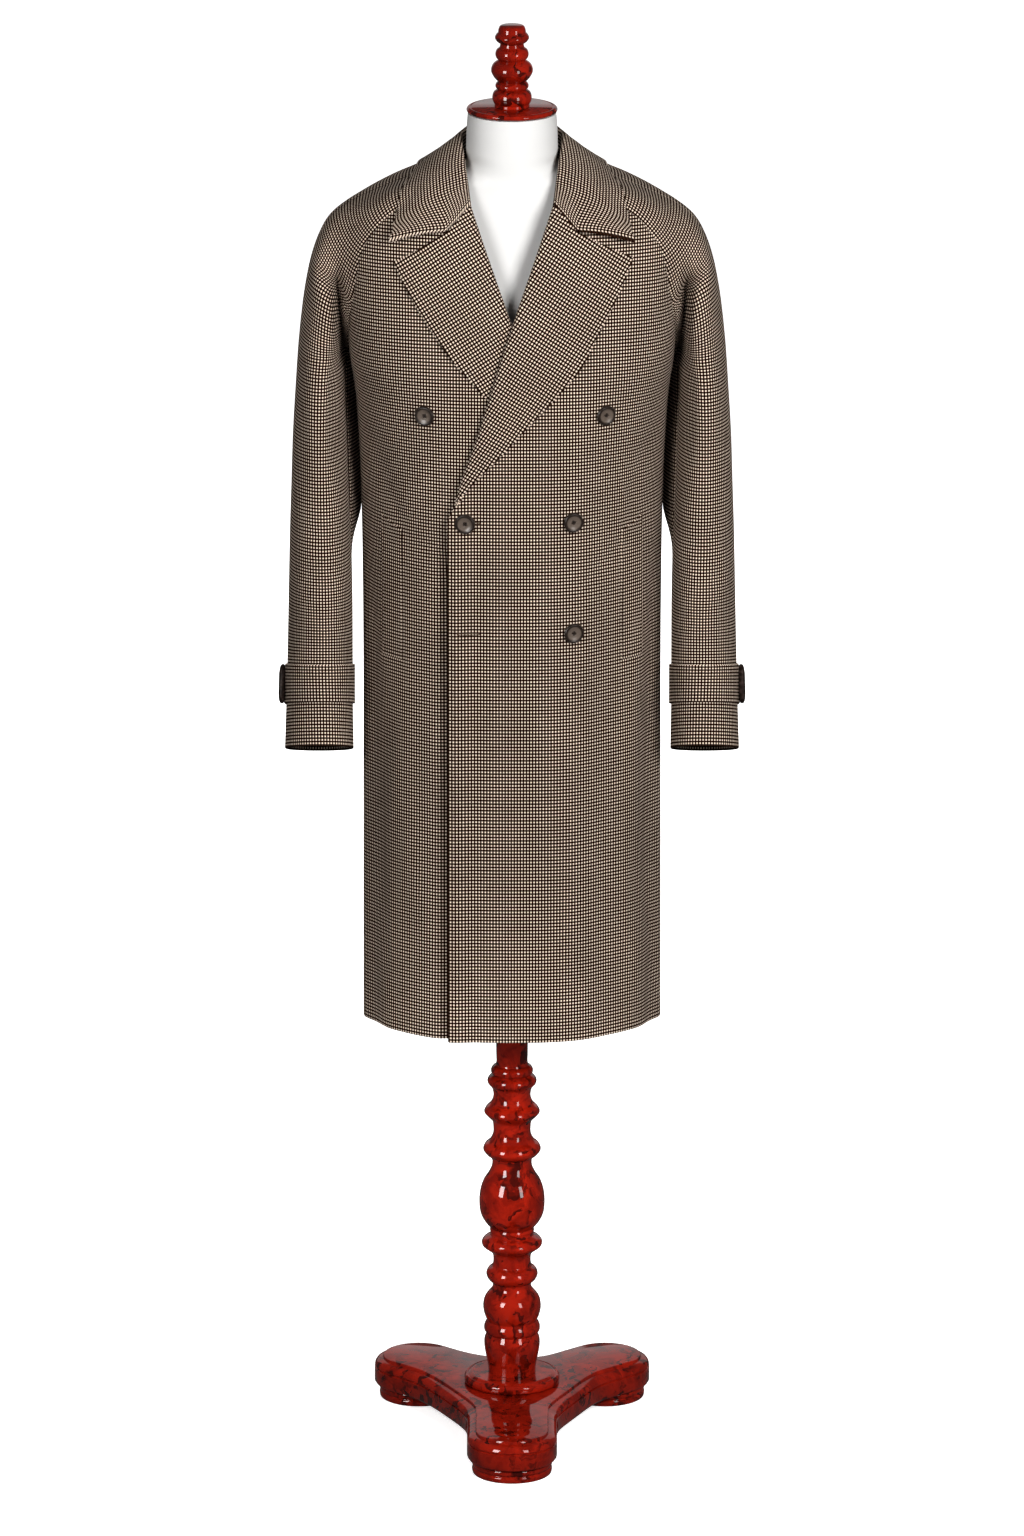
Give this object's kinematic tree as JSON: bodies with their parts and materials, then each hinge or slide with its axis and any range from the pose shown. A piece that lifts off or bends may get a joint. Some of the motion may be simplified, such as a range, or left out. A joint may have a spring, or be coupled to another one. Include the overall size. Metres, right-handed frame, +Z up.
{
  "type": "double-breasted overcoat on a dress form stand",
  "caption": "Double-breasted overcoat with raglan sleeves, wide lapels, welt pockets and strapped cuffs, buttoned on a limbless dress form with a turned, legged stand.",
  "frame": {"origin": "on the floor, under the middle of the whole part's bounding box", "axes": "+Z up along the stand's post; the coat faces -Y; +X is the wearer's left, which is the viewer's right"},
  "size_m": [0.5814, 0.4185, 1.8155],
  "materials": {
    "coat_cloth": "small brown and cream shepherd's check, soft wool",
    "horn": "dark brown horn, polished",
    "leather": "dark brown, mottled",
    "form_cover": "smooth white cover",
    "lacquer": "red burl lacquer, glossy"
  },
  "bodies": {
    "root": {"back": "coat_cloth", "base_disc": "lacquer", "button_1": "horn", "button_2": "horn", "button_3": "horn", "button_4": "horn", "button_5": "horn", "collar": "coat_cloth", "cuff_buckle_left": "leather", "cuff_buckle_right": "leather", "cuff_strap_left": "coat_cloth", "cuff_strap_right": "coat_cloth", "dress_form": "form_cover", "finial": "lacquer", "foot_pad_front": "lacquer", "foot_pad_left": "lacquer", "foot_pad_right": "lacquer", "front_left": "coat_cloth", "front_right": "coat_cloth", "lapel_left": "coat_cloth", "lapel_right": "coat_cloth", "neck_cap": "lacquer", "pocket_welt_left": "coat_cloth", "pocket_welt_right": "coat_cloth", "post": "lacquer", "sleeve_left_back": "coat_cloth", "sleeve_left_front": "coat_cloth", "sleeve_right_back": "coat_cloth", "sleeve_right_front": "coat_cloth", "stand_base": "lacquer"}
  },
  "joints": []
}
